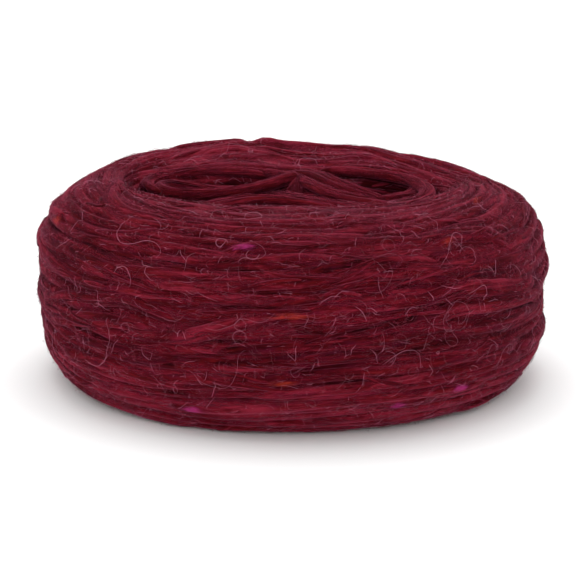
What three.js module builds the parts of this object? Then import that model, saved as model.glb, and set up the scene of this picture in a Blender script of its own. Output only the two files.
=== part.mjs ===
import * as THREE from "three";

// A plate of unspun lopi: carded wool roving wound into a flat cake with round shoulders, about an
// oval hollow that has half closed. Millimetres, +Z up, the origin at the middle of its underside.

// Driving sizes
const WIDTH = 180;
const DEPTH = 178;
const HEIGHT = 72;
const SHOULDER = 27; // radius of the upper edge
const HEEL = 22; // radius of the lower edge
const STRAND = 5; // thickness of one turn of the roving
const RIDGE = 1.1; // how far a turn stands above the mean surface
const FOOT_LIP = 4.5; // height of the dimple in the underside

// How finely the skin is divided
const COLUMNS = 80; // round the plate
const ROWS_PER_TURN = 2; // a crest and a valley
const ARC_STEPS = 12; // of a round edge, before the rows are spaced out

const MEAN_RX = WIDTH / 2 - RIDGE;
const MEAN_RY = DEPTH / 2 - RIDGE;
const MEAN_TOP = HEIGHT - RIDGE;
const HALF_TURN = STRAND / ROWS_PER_TURN;

// Ovals of the underside, from its middle out. cx and cy are an oval's middle, rx and ry its half
// widths, z its height, and tip how far its front stands above its back, halved.
const UNDERSIDE = [
  { cx: 0, cy: 0, rx: 0, ry: 0, z: FOOT_LIP, tip: 0 },
  { cx: 0, cy: 0, rx: 16, ry: 6, z: FOOT_LIP, tip: 0 },
  { cx: 0, cy: 0, rx: 28, ry: 13, z: FOOT_LIP * 0.6, tip: 0 },
  { cx: 0, cy: 0, rx: 37, ry: 20, z: 0, tip: 0 },
];

// Ovals of the face and the hollow, from the shoulder in.
const FACE = [
  { cx: -1, cy: 2, rx: 59, ry: 42, z: MEAN_TOP - 0.5, tip: 0 },
  { cx: -2, cy: 3, rx: 56, ry: 27, z: MEAN_TOP - 3.1, tip: -0.6 },
  { cx: -2, cy: 4, rx: 52, ry: 20, z: MEAN_TOP - 7.6, tip: -0.2 },
  { cx: -2.5, cy: 8, rx: 47, ry: 14, z: MEAN_TOP - 11, tip: 0.3 },
  { cx: -3, cy: 10, rx: 38, ry: 10, z: MEAN_TOP - 14.5, tip: 0.5 },
  { cx: -3, cy: 10, rx: 28, ry: 5, z: MEAN_TOP - 17.5, tip: 0 },
  { cx: -3, cy: 10, rx: 0, ry: 0, z: MEAN_TOP - 18, tip: 0 },
];

// Loose turns cross the hollow here and part it into two pockets. They lie almost level over reach.
const SADDLE = { x: 10, reach: 12.5, z: MEAN_TOP - 3.6 };

// Where the turns run aslant. A turn that passes azimuth (degrees, 0 at +X and 90 at the back)
// and height z is lifted by rise along the skin, fading over reach degrees and over tall.
const SLANTS = [
  { azimuth: -125, z: 26, reach: 26, tall: 16, rise: -4.5 },
  { azimuth: -62, z: 34, reach: 24, tall: 15, rise: 4 },
  { azimuth: -20, z: 30, reach: 20, tall: 14, rise: -2.5 },
  { azimuth: 60, z: 32, reach: 28, tall: 14, rise: -3.5 },
  { azimuth: 125, z: 28, reach: 24, tall: 14, rise: 4 },
];

// Where the plate has settled out of the round. Round azimuth and a length along the section from
// the middle of the underside, it stands out that far, fading over reach degrees and over tall.
const SWELLS = [
  { azimuth: 32, length: 170, reach: 30, tall: 24, out: -4.4 },
  { azimuth: 80, length: 175, reach: 18, tall: 20, out: -2.2 },
  { azimuth: 108, length: 172, reach: 12, tall: 18, out: 1.3 },
  { azimuth: 142, length: 165, reach: 18, tall: 18, out: 1 },
  { azimuth: -112, length: 80, reach: 24, tall: 14, out: 1.4 },
  { azimuth: -160, length: 90, reach: 20, tall: 14, out: -2.2 },
  { azimuth: 4, length: 134, reach: 22, tall: 12, out: 1.6 },
];

const rad = THREE.MathUtils.degToRad;

// How much of a local change reaches an angle and a level, from 1 at its middle to 0 far off.
function nearness(local, angle, level, middle) {
  const off = Math.atan2(Math.sin(angle - rad(local.azimuth)), Math.cos(angle - rad(local.azimuth)));
  return Math.exp(-((off / rad(local.reach)) ** 2) - ((level - middle) / local.tall) ** 2);
}

// An oval of the round outer edge, a share of the way round its section.
function edgeOval(inset, z) {
  return { cx: 0, cy: 0, rx: MEAN_RX - inset, ry: MEAN_RY - inset, z, tip: 0 };
}

// The ovals of a round edge of that radius, whose section turns from angle a to angle b.
function roundEdge(radius, middleZ, a, b) {
  return Array.from({ length: ARC_STEPS + 1 }, (_, i) => {
    const angle = rad(a + ((b - a) * i) / ARC_STEPS);
    return edgeOval(radius * (1 - Math.cos(angle)), middleZ + radius * Math.sin(angle));
  });
}

const OVALS = [
  ...UNDERSIDE,
  ...roundEdge(HEEL, HEEL, -90, 0),
  ...roundEdge(SHOULDER, MEAN_TOP - SHOULDER, 0, 90),
  ...FACE,
];

// The length along the section, halfway between the wide and the narrow way, up to each oval.
const LENGTHS = OVALS.reduce((sums, oval, i) => {
  if (i === 0) return [0];
  const before = OVALS[i - 1];
  const out = (Math.abs(oval.rx - before.rx) + Math.abs(oval.ry - before.ry)) / 2;
  return [...sums, sums[i - 1] + Math.hypot(out, oval.z - before.z)];
}, []);
const WHOLE = LENGTHS.at(-1);

// The oval at a length along the section.
function ovalAt(length) {
  const s = THREE.MathUtils.clamp(length, 0, WHOLE);
  const i = Math.max(1, LENGTHS.findIndex((sum) => sum >= s));
  const share = (s - LENGTHS[i - 1]) / Math.max(LENGTHS[i] - LENGTHS[i - 1], 1e-9);
  const mix = (key) => THREE.MathUtils.lerp(OVALS[i - 1][key], OVALS[i][key], share);
  return { cx: mix("cx"), cy: mix("cy"), rx: mix("rx"), ry: mix("ry"), z: mix("z"), tip: mix("tip") };
}

// A point of the smooth form: a length along the section and an angle round the plate.
function smoothPoint(length, angle) {
  const { cx, cy, rx, ry, z, tip } = ovalAt(length);
  const x = cx + rx * Math.cos(angle);
  const y = cy + ry * Math.sin(angle);
  const own = z - tip * Math.sin(angle);
  const inHollow = length > LENGTHS[OVALS.length - FACE.length + 1];
  if (!inHollow) return new THREE.Vector3(x, y, own);
  const near = Math.exp(-(((x - SADDLE.x) / SADDLE.reach) ** 4));
  return new THREE.Vector3(x, y, own + Math.max(0, SADDLE.z - own) * near);
}

// The way out of the smooth form there.
function outward(length, angle) {
  const step = 0.4;
  const turn = 0.02;
  const along = smoothPoint(length + step, angle).sub(smoothPoint(length - step, angle));
  const round = smoothPoint(length, angle + turn).sub(smoothPoint(length, angle - turn));
  return round.cross(along).normalize();
}

// The rows of the skin: the underside's own ovals, then a crest and a valley for every turn.
const FOOT_OUT = LENGTHS[UNDERSIDE.length];
const TURN_ROWS = Math.round((WHOLE - FOOT_OUT) / HALF_TURN);
const ROWS = [
  ...UNDERSIDE.map((_, i) => ({ length: LENGTHS[i], lift: 0 })),
  { length: FOOT_OUT, lift: 0 },
  ...Array.from({ length: TURN_ROWS - 1 }, (_, k) => ({
    length: FOOT_OUT + ((WHOLE - FOOT_OUT) * (k + 1)) / TURN_ROWS,
    lift: k % ROWS_PER_TURN === 0 ? -RIDGE : RIDGE,
  })),
  { length: WHOLE, lift: 0 },
];

// How far a turn strays along the skin from its even place.
function stray(length, angle) {
  const { z } = ovalAt(length);
  const waves = 0.9 * Math.sin(2 * angle + 0.09 * length) + 0.5 * Math.sin(5 * angle - 0.21 * length);
  return SLANTS.reduce((sum, slant) => sum + slant.rise * nearness(slant, angle, z, slant.z), waves);
}

// How far the settled form stands out there.
function swelling(length, angle) {
  return SWELLS.reduce((sum, swell) => sum + swell.out * nearness(swell, angle, length, swell.length), 0);
}

// A point of the wound skin.
function woundPoint(row, angle) {
  const { length, lift } = ROWS[row];
  if (lift === 0) return smoothPoint(length, angle);
  const settled = Math.min(1, (length - FOOT_OUT) / (2 * STRAND), (WHOLE - length) / (2 * STRAND));
  const strayed = length + settled * stray(length, angle);
  const uneven = 0.8 + 0.25 * Math.sin(3 * angle + 1.7 * row) + 0.2 * Math.sin(7 * angle - 2.9 * row);
  const spread = smoothPoint(length + HALF_TURN, angle).distanceTo(smoothPoint(length, angle));
  const ridge = lift * uneven * Math.min(1, spread / HALF_TURN);
  const height = ridge + swelling(strayed, angle);
  const point = smoothPoint(strayed, angle).addScaledVector(outward(strayed, angle), height);
  point.z = Math.max(point.z, 0);
  return point;
}

// A lathe gives the closed skin its faces, and each of its points then moves to the wound form.
function woundPlate() {
  const profile = ROWS.map(({ length }) => {
    const { rx, z } = ovalAt(length);
    return new THREE.Vector2(rx, z);
  });
  const skin = new THREE.LatheGeometry(profile, COLUMNS);
  const position = skin.getAttribute("position");
  for (let i = 0; i < position.count; i += 1) {
    const column = Math.floor(i / ROWS.length) % COLUMNS;
    const point = woundPoint(i % ROWS.length, (column / COLUMNS) * 2 * Math.PI);
    position.setXYZ(i, point.x, point.y, point.z);
  }
  skin.computeVertexNormals();
  return skin;
}

// The inner end of the roving: along the back of the left pocket, round its left end, along its
// front and up on to the saddle, where it ends.
const END_ROUTE = [
  [-13, 16.2, 61.6],
  [-18.5, 16, 61.6],
  [-23.5, 15.6, 61.8],
  [-28.5, 15, 62.2],
  [-33.3, 14.4, 62.8],
  [-37.9, 13.8, 63.5],
  [-42.5, 12.4, 64.3],
  [-46, 9, 64.9],
  [-47.2, 4.4, 65.2],
  [-46, -0.3, 65.3],
  [-42.6, -3.6, 65.3],
  [-37.9, -4.9, 65.3],
  [-33, -5.2, 65.4],
  [-28, -5, 65.6],
  [-22.8, -4.3, 66],
  [-17.6, -2.9, 66.6],
  [-12.6, -0.8, 67.3],
  [-8, 1.8, 68.1],
  [-3.6, 4.9, 68.8],
  [0.6, 8.4, 69.1],
];
const END_THICKNESS = 4.6;
const END_SIDES = 10;
const END_STEPS = 30;

function innerEnd() {
  const path = new THREE.CatmullRomCurve3(END_ROUTE.map((p) => new THREE.Vector3(...p)));
  const section = new THREE.Shape(
    Array.from({ length: END_SIDES }, (_, i) => {
      const angle = (i / END_SIDES) * 2 * Math.PI;
      return new THREE.Vector2(Math.cos(angle), Math.sin(angle)).multiplyScalar(END_THICKNESS / 2);
    }),
  );
  return new THREE.ExtrudeGeometry(section, { steps: END_STEPS, extrudePath: path });
}

function mesh(name, geometry, color, roughness) {
  const made = new THREE.Mesh(
    geometry,
    new THREE.MeshStandardMaterial({ color, roughness, metalness: 0 }),
  );
  made.name = name;
  return made;
}

const plateOfLopi = new THREE.Group();
plateOfLopi.add(mesh("wound_plate", woundPlate(), 0x5a1a26, 0.95));
plateOfLopi.add(mesh("inner_end", innerEnd(), 0x66202d, 0.95));

export default plateOfLopi;
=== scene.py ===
"""A plate of unspun wool roving, wound in soft flat turns about an oval hollow, on a pale floor.

The skin repeats the form of the plate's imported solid. Strands of roving are laid on it one after
another, each on what lies there already, and loose fibres are strewn over them.
Lengths in the tables are millimetres, and MM turns them into Blender's metres.
"""

import functools
import math

import bpy
import numpy as np
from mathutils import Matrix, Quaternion, Vector


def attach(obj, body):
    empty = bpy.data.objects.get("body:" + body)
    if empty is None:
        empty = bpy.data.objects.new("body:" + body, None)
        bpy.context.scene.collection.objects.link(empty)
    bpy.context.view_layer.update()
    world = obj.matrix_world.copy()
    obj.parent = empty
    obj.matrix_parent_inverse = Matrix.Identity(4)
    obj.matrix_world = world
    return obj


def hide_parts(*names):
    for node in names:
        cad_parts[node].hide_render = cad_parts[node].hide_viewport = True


bl_info = {
    "name": "Unspun wool plate",
    "version": (1, 0, 0),
    "blender": (4, 5, 0),
    "location": "3D View > Sidebar > Wool",
    "description": "Winds a plate of unspun wool roving and sets it on a pale floor",
    "category": "Add Mesh",
}

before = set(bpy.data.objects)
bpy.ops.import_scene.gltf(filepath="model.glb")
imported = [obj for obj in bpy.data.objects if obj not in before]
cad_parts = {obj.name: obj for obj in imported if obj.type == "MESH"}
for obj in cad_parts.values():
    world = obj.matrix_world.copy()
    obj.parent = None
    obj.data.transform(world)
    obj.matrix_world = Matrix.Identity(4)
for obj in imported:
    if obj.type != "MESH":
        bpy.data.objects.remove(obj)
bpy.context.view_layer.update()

MM = 0.001
TURN = 2 * math.pi
PLATE = "wound_plate"
LOOSE_END = "inner_end"
UP = np.array([0.0, 0.0, 1.0])

# The form of the plate, in step with its solid
WIDTH = 180.0
DEPTH = 178.0
HEIGHT = 72.0
RIDGE = 1.1
MEAN_RX = WIDTH / 2 - RIDGE
MEAN_RY = DEPTH / 2 - RIDGE
MEAN_TOP = HEIGHT - RIDGE
SHOULDER = 27.0
HEEL = 22.0
FOOT_LIP = 4.5

# Ovals of the skin: the middle's x and y, half the length and width, the height, and how far
# the back stands below the front, halved
UNDERSIDE = (
    (0, 0, 0, 0, FOOT_LIP, 0),
    (0, 0, 16, 6, FOOT_LIP, 0),
    (0, 0, 28, 13, FOOT_LIP * 0.6, 0),
    (0, 0, 37, 20, 0, 0),
)
FACE = (
    (-1, 2, 59, 42, MEAN_TOP - 0.5, 0),
    (-2, 3, 56, 27, MEAN_TOP - 3.1, -0.6),
    (-2, 4, 52, 20, MEAN_TOP - 7.6, -0.2),
    (-2.5, 8, 47, 14, MEAN_TOP - 11, 0.3),
    (-3, 10, 38, 10, MEAN_TOP - 14.5, 0.5),
    (-3, 10, 28, 5, MEAN_TOP - 17.5, 0),
    (-3, 10, 0, 0, MEAN_TOP - 18, 0),
)
SADDLE_X = 10.0
SADDLE_REACH = 12.5
SADDLE_TOP = MEAN_TOP - 3.6

# Where whole groups of turns run aslant: azimuth in degrees, 0 at +X and -90 at the front, the
# place along the skin from the middle of the underside, how far the slant reaches, and its rise
SLANTS = (
    # azimuth, skin, reach, tall, rise
    (-125, 105, 26, 20, -4.5),
    (-62, 113, 24, 19, 4.0),
    (-20, 109, 20, 18, -2.5),
    (60, 111, 28, 18, -3.5),
    (125, 107, 24, 18, 4.0),
    (20, 150, 30, 14, 2.5),
    (-160, 150, 30, 14, -2.0),
)

# Where the plate stands out, or in where the last value is negative
SWELLS = (
    # azimuth, skin, reach, tall, out
    (32, 170, 30, 24, -4.4),
    (80, 175, 18, 20, -2.2),
    (108, 172, 12, 18, 1.3),
    (142, 165, 18, 18, 1.0),
    (-112, 80, 24, 14, 1.4),
    (-160, 90, 20, 14, -1.2),
    (4, 134, 22, 12, 1.6),
    (180, 130, 20, 24, 0.8),
    (99, 160, 4, 10, 1.3),
    (104.5, 162, 3, 10, -1.0),
    (66, 165, 8, 16, 1.3),
    (-150, 84, 22, 16, 1.6),
    (-172, 150, 16, 14, 1.4),
)

# How high the even turns lie on the skin, from the foot over the wall to the hollow
TURN_HEIGHTS = (
    # skin, height
    (60, -0.2),
    (72, 0.5),
    (98, 0.3),
    (110, -0.2),
    (150, -0.3),
    (166, -0.8),
)

# How far the felted wool stays below the top of the strands laid on it
FELT_SINKS = (
    # skin, depth
    (100, 0.65),
    (140, 0.5),
    (165, -0.1),
)

# The strands that lie uppermost, most of them on the side that faces the camera: thickness against
# the usual, then points of azimuth and skin
WALL_STRANDS = (
    (1.10, ((-112, 142), (-105, 145), (-98, 148), (-88, 148), (-78, 148), (-66, 148), (-56, 146),
        (-48, 148), (-38, 146), (-32, 141), (-24, 134))),
    (0.95, ((-132, 137), (-116, 140), (-102, 142), (-88, 144), (-74, 142), (-60, 142), (-46, 143))),
    (1.00, ((-140, 132), (-120, 135), (-104, 136), (-88, 138), (-80, 140), (-65, 140), (-50, 138))),
    (1.05, ((-126, 130), (-110, 131), (-97, 133), (-88, 134), (-78, 136), (-66, 136), (-50, 134),
        (-28, 132), (-12, 133))),
    (0.90, ((-103, 125), (-92, 128), (-82, 130), (-73, 131), (-62, 132))),
    (0.95, ((-97, 115), (-88, 118), (-76, 118), (-66, 120), (-56, 121), (-48, 122), (-30, 119),
        (-10, 116))),
    (1.00, ((-112, 109), (-96, 112), (-84, 113), (-66, 114), (-56, 115), (-45, 114), (-23, 112),
        (-5, 110))),
    (0.95, ((-166, 106), (-154, 109), (-144, 112), (-133, 115), (-122, 115), (-114, 114))),
    (1.05, ((-172, 110), (-160, 114), (-148, 119), (-136, 122), (-128, 124), (-122, 122), (-116, 120),
        (-108, 118))),
    (1.20, ((-134, 110), (-128, 111), (-122, 112), (-114, 114), (-106, 118), (-97, 122), (-88, 124),
        (-80, 125), (-71, 126), (-62, 127), (-54, 129), (-45, 128), (-30, 124), (-16, 122))),
    (1.00, ((-152, 104), (-136, 105), (-124, 105), (-110, 106), (-100, 107), (-88, 109), (-66, 110),
        (-54, 110), (-36, 108))),
    (1.10, ((-158, 98), (-137, 98), (-122, 98), (-110, 100), (-99, 101), (-88, 103), (-78, 104), (-66, 104),
        (-59, 104), (-44, 105), (-24, 103))),
    (1.00, ((-103, 95), (-88, 97), (-76, 98), (-59, 99), (-41, 99), (-22, 98))),
    (1.05, ((-125, 89), (-106, 90), (-88, 92), (-70, 93), (-56, 93), (-34, 91))),
    (0.95, ((-128, 162), (-119, 166), (-111, 171), (-101, 175), (-88, 177), (-79, 172), (-70, 163),
        (-60, 157), (-48, 154))),
    (0.90, ((-108, 151), (-104, 154), (-98, 153), (-88, 154), (-78, 152), (-64, 151))),
    (1.15, ((-88, 158), (-82, 163), (-76, 163), (-72, 159), (-62, 156))),
    (1.00, ((-166, 158), (-152, 154), (-144, 152), (-133, 152), (-116, 154))),
    (1.05, ((-184, 170), (-172, 167), (-162, 162), (-148, 157), (-136, 156), (-120, 158))),
    (1.10, ((140, 155), (126, 160), (112, 165), (104, 162), (98, 158))),
    (1.00, ((134, 175), (109, 173), (86, 178), (65, 173), (38, 174))),
)

# Strands that cross or round the hollow: thickness against the usual, then points of x, y and z
HOLLOW_STRANDS = (
    (1.00, ((-41, -4, 61.4), (-34, -6.5, 61.8), (-27, -6.5, 62), (-19, -4, 62.2), (-12, 2, 61.4))),
    (0.95, ((-8, 27, 65.6), (-16, 27, 66.6), (-26, 27, 67), (-36, 25.5, 66.9), (-44, 22, 66.5),
        (-50, 16, 66.2), (-52, 9, 66.2), (-50.5, 2, 66.2), (-46, -5, 66))),
    (1.05, ((10, 32, 66.2), (20, 29, 66.8), (30, 24, 67), (39, 17, 67.2), (44.5, 7, 67.3), (47, -4, 67.3),
        (45, -13.5, 66.8), (39.5, -19.5, 66.4), (32, -23.5, 66.2), (23, -27, 66.4), (14, -28, 66.8),
        (6, -26.5, 66.8))),
    (0.90, ((21, 31, 64), (29.5, 28, 64.4), (37, 23, 64.8), (42, 16, 65), (43.5, 8.5, 65), (40.5, 0.5, 65),
        (34.5, -4.5, 65), (27.5, -8.7, 65), (20, -12.5, 65.2))),
    (0.90, ((-8, 10, 62.6), (-2, -6, 65.4), (4.5, -19, 67.2), (12.5, -28, 68), (22, -34, 68.2),
        (31, -38, 68))),
    (1.00, ((-33, -30, 66.4), (-25, -26, 67.2), (-17, -23, 67.9), (-8, -22.5, 68.3), (0.5, -25, 68.3),
        (9, -29, 68), (17.5, -34, 67.4))),
    (0.95, ((-3, 27, 66.4), (6, 17.5, 67.6), (13, 6, 67.8), (20, -2, 67.2), (26, -8, 66))),
    (0.90, ((2, 27.5, 67), (11, 13, 68.2), (18, 2, 67.8), (24, -5, 66.8), (32, -9, 65.4))),
    (1.00, ((-11, 28.5, 66.4), (-3, 19, 67.4), (3.7, 5.5, 68.2), (10.5, -9, 68.4), (18.5, -18, 68),
        (28, -23.5, 67.4), (37, -28, 67))),
)

HOLLOW_SEED = 7000
HOLLOW_SEED_STEP = 40

# How far aside and above the line of such a strand its thin locks lie, against a fold's half width
LOCKS_REACH = 1.45
LOCKS_RISE = 0.95

# The loose inner end, as its solid lies
END_ROUTE = (
    (-13, 16.2, 61.6), (-18.5, 16, 61.6), (-23.5, 15.6, 61.8), (-28.5, 15, 62.2), (-33.3, 14.4, 62.8),
    (-37.9, 13.8, 63.5), (-42.5, 12.4, 64.3), (-46, 9, 64.9), (-47.2, 4.4, 65.2), (-46, -0.3, 65.3),
    (-42.6, -3.6, 65.3), (-37.9, -4.9, 65.3), (-33, -5.2, 65.4), (-28, -5, 65.6), (-22.8, -4.3, 66),
    (-17.6, -2.9, 66.6), (-12.6, -0.8, 67.3), (-8, 1.8, 68.1), (-3.6, 4.9, 68.8), (0.6, 8.4, 69.1),
)
END_THICKNESS = 4.6

# Flecks of other wool carded in: azimuth, skin, length, breadth, and 1 for magenta or 0 for orange
FLECKS = (
    (-102, 147, 4.5, 1.2, 1),
    (-112, 90, 4, 1.4, 1),
    (-50, 94, 4, 1.4, 1),
    (-66, 91, 3, 1.2, 1),
    (-92, 101, 5, 1.4, 0),
    (-90, 124, 8, 1.2, 0),
    (-50, 145, 3, 1.4, 0),
    (-165, 140, 4, 2.0, 0),
    (60, 130, 8, 1.8, 0),
    (100, 110, 6, 1.6, 1),
    (150, 150, 8, 1.8, 0),
    (20, 104, 5, 1.5, 1),
    (-20, 160, 5, 1.5, 0),
)
FLECK_DEPTH = 5.0
MAGENTA_SHOWS = 0.55
ORANGE_SHOWS = 0.4

# Long curls on the side that faces the camera: where each starts, as azimuth and skin, its heading
# in degrees, 0 along the turns and 90 up, its length, and how far round it turns, in degrees
CURLS = (
    # azimuth, skin, heading, length, turn
    (-55, 118, -80, 34, 400),
    (-67, 116, 190, 17, 380),
    (-70, 111, 20, 9, -200),
    (-109, 119, -20, 16, 90),
    (-101, 114, 10, 14, 330),
    (-112, 163, 10, 24, 420),
    (-104, 166, 150, 19, -390),
    (-96, 161, 60, 15, 360),
    (-90, 166, -30, 20, 300),
    (-84, 160, 20, 17, -260),
    (-106, 148, 80, 12, 410),
    (-100, 146, 200, 10, 300),
    (-64, 146, 30, 16, 150),
    (-48, 140, 70, 13, -240),
    (-128, 128, 40, 15, 200),
    (-140, 120, -60, 12, 240),
    (-122, 100, 10, 13, -180),
    (-40, 104, 70, 14, 260),
    (-75, 132, -20, 18, 120),
)

# The oval that holds the hollow's pockets, and the height below which and over which painted shade darkens
# them
POCKETS_Y = 5.0
POCKETS_HALF_LENGTH = 58.0
POCKETS_HALF_WIDTH = 28.0
POCKETS_DARK_FROM = MEAN_TOP - 6
POCKETS_DARK_OVER = 4.0

# Where light is painted into the wool: lighter behind the hollow, from one depth and height on, and near
# the foot
BACK_FROM_Y = 12.0
BACK_FADE_Y = 25.0
BACK_FROM_Z = 60.0
BACK_FADE_Z = 8.0
BACK_PAINTED_LIGHT = 1.3
FOOT_REACH = 20.0
FOOT_PAINTED_LIGHT = 2.4

# How finely things are worked out
SKIN_CELL = 0.5
AZIMUTH_CELLS = 720
LAY_STEP = 0.7
RING_STEP = 2.3
FREE_STEP = 1.6
RING_SIDES = 10
FIBRE_SIDES = 3

# How far from the middles of the underside and of the hollow the felted wool and the fibres start and
# stop, and how far above the floor they stay
FELT_LOWEST = 0.9
FELT_START = 6.0
FELT_STOP = 4.0
FIBRES_START = 6.0
FIBRES_STOP = 6.0
FIBRES_LOWEST = 0.08


# Smooth random numbers


def scattered(i, j, seed):
    """A fixed random number from -1 to 1 for each pair of whole numbers."""
    mixed = (i.astype(np.int64) * 1619 + j.astype(np.int64) * 31337 + seed * 6971) & 0x7FFFFFFF
    mixed = (mixed >> 13) ^ mixed
    mixed = (mixed * ((mixed * mixed * 15731 + 789221) & 0x7FFFFFFF) + 1376312589) & 0x7FFFFFFF
    return mixed / 0x3FFFFFFF - 1


def waver(u, v, seed, around=0):
    """Smooth noise from -1 to 1, one bump to each unit of u and v. around closes v on itself."""
    u, v = np.broadcast_arrays(np.asarray(u, float), np.asarray(v, float))
    i, j = np.floor(u), np.floor(v)
    a, b = u - i, v - j
    a, b = a * a * (3 - 2 * a), b * b * (3 - 2 * b)
    near, far = (j % around, (j + 1) % around) if around else (j, j + 1)
    low = scattered(i, near, seed) * (1 - a) + scattered(i + 1, near, seed) * a
    high = scattered(i, far, seed) * (1 - a) + scattered(i + 1, far, seed) * a
    return low * (1 - b) + high * b


def softened(values, reach):
    """Values along a line, each averaged with its neighbours to about that many steps."""
    offsets = np.arange(-2 * reach, 2 * reach + 1)
    weights = np.exp(-((offsets / reach) ** 2))
    padded = np.pad(values, 2 * reach, mode="edge")
    return np.convolve(padded, weights / weights.sum(), mode="valid")


def smooth_line(points, spacing):
    """A smooth line through points, which are rows, sampled about that far apart."""
    points = np.asarray(points, float)
    before = np.vstack([2 * points[0] - points[1], points[:-2]])
    after = np.vstack([points[2:], 2 * points[-1] - points[-2]])
    parts = []
    for p0, p1, p2, p3 in zip(before, points[:-1], points[1:], after):
        count = max(2, int(np.linalg.norm(p2 - p1) / spacing) + 1)
        t = np.linspace(0, 1, count, endpoint=False)[:, None]
        pull_in, pull_out = (p2 - p0) / 2, (p3 - p1) / 2
        bend = 3 * (p2 - p1) - 2 * pull_in - pull_out
        twist = 2 * (p1 - p2) + pull_in + pull_out
        parts.append(p1 + pull_in * t + bend * t**2 + twist * t**3)
    return np.vstack([*parts, points[-1:]])


def unit(vectors):
    """The same directions, one long."""
    return vectors / np.maximum(np.linalg.norm(vectors, axis=-1, keepdims=True), 1e-9)


def ways_over(line, up=UP):
    """The two ways over the section of something along a line: aside, and out from what it lies on."""
    forward = unit(np.gradient(line, axis=0))
    aside = unit(np.cross(forward, up))
    return aside, unit(np.cross(aside, forward))


def run_along(line):
    """How far each point of a line is from its start."""
    return np.concatenate([[0], np.cumsum(np.linalg.norm(np.diff(line, axis=0), axis=1))])


def near_spot(azimuth, place, middle, skin_place, reach, tall):
    """One at a spot of the skin, fading out over its reach in azimuth and over how tall it is."""
    off = np.angle(np.exp(1j * (azimuth - math.radians(middle))))
    return np.exp(-((off / math.radians(reach)) ** 2 + ((place - skin_place) / tall) ** 2))


# The skin that the turns lie on


def edge_ovals(radius, middle_z, start, stop):
    """The ovals of the plate's round upper or lower edge, from one angle of its section to another."""
    ovals = []
    for angle in np.radians(np.linspace(start, stop, 13)):
        inset = radius * (1 - math.cos(angle))
        height = middle_z + radius * math.sin(angle)
        ovals.append((0, 0, MEAN_RX - inset, MEAN_RY - inset, height, 0))
    return ovals


class Skin:
    """The smooth form of the plate, by azimuth round it and place along its section."""

    def __init__(self):
        ovals = np.array(
            [
                *UNDERSIDE,
                *edge_ovals(HEEL, HEEL, -90, 0),
                *edge_ovals(SHOULDER, MEAN_TOP - SHOULDER, 0, 90),
                *FACE,
            ],
            float,
        )
        out = np.abs(np.diff(ovals[:, 2:4], axis=0)).sum(axis=1) / 2
        stations = np.concatenate([[0], np.cumsum(np.hypot(out, np.diff(ovals[:, 4])))])
        hollow_start = stations[-len(FACE) + 1]
        self.length = stations[-1]
        self.places = np.arange(0, self.length, SKIN_CELL)
        self.azimuths = np.arange(AZIMUTH_CELLS) * TURN / AZIMUTH_CELLS
        columns = [softened(np.interp(self.places, stations, column), 3) for column in ovals.T]
        cx, cy, rx, ry, z, tip = (column[:, None] for column in columns)
        x = cx + rx * np.cos(self.azimuths)
        y = cy + ry * np.sin(self.azimuths)
        z = z - tip * np.sin(self.azimuths)
        over = np.exp(-(((x - SADDLE_X) / SADDLE_REACH) ** 4))
        lifted = z + np.maximum(0, SADDLE_TOP - z) * over
        z = np.where(self.places[:, None] > hollow_start, lifted, z)
        self.points = np.stack([x, y, z], axis=-1)
        turned = np.concatenate([self.points[:, -1:], self.points, self.points[:, :1]], axis=1)
        around = (turned[:, 2:] - turned[:, :-2]) / (2 * TURN / AZIMUTH_CELLS)
        along = np.gradient(self.points, SKIN_CELL, axis=0)
        self.normals = unit(np.cross(around, along))
        self.points = self.points + self.normals * self.swelling()[..., None]
        self.points[..., 2] = np.maximum(self.points[..., 2], 0)
        self.around = np.maximum(np.linalg.norm(around, axis=-1), 1.0)
        self.along = np.maximum(np.linalg.norm(along, axis=-1), 0.2)

    def swelling(self):
        """How far the swells move each point of the skin out."""
        out = np.zeros(self.points.shape[:2])
        for *spot, height in SWELLS:
            out += height * near_spot(self.azimuths, self.places[:, None], *spot)
        return out

    def read(self, table, azimuth, place):
        """The value of a table of the skin at those azimuths and places, between its cells."""
        column = (np.asarray(azimuth) % TURN) / TURN * AZIMUTH_CELLS
        row = np.clip(np.asarray(place) / SKIN_CELL, 0, len(self.places) - 1.001)
        i, j = np.floor(row).astype(int), np.floor(column).astype(int)
        a, b = row - i, column - j
        if table.ndim == 3:
            a, b = a[..., None], b[..., None]
        left, right = j % AZIMUTH_CELLS, (j + 1) % AZIMUTH_CELLS
        near = table[i, left] * (1 - b) + table[i, right] * b
        far = table[i + 1, left] * (1 - b) + table[i + 1, right] * b
        return near * (1 - a) + far * a


class Strand:
    """One strand of roving on the skin: its line, and how thick it is along it."""

    # How uneven its width is: by what share, and over what length
    UNEVEN = ((0.16, 24), (0.09, 8))

    def __init__(self, azimuth, place, girth, seed):
        self.azimuth = azimuth
        self.place = place
        self.seed = seed
        run = np.arange(len(azimuth)) * LAY_STEP
        uneven = 1
        for k, (share, length) in enumerate(self.UNEVEN):
            uneven = uneven + share * waver(run / length, 0.5, seed + k)
        self.half_width = girth * uneven
        self.height = np.zeros(len(azimuth))


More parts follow.
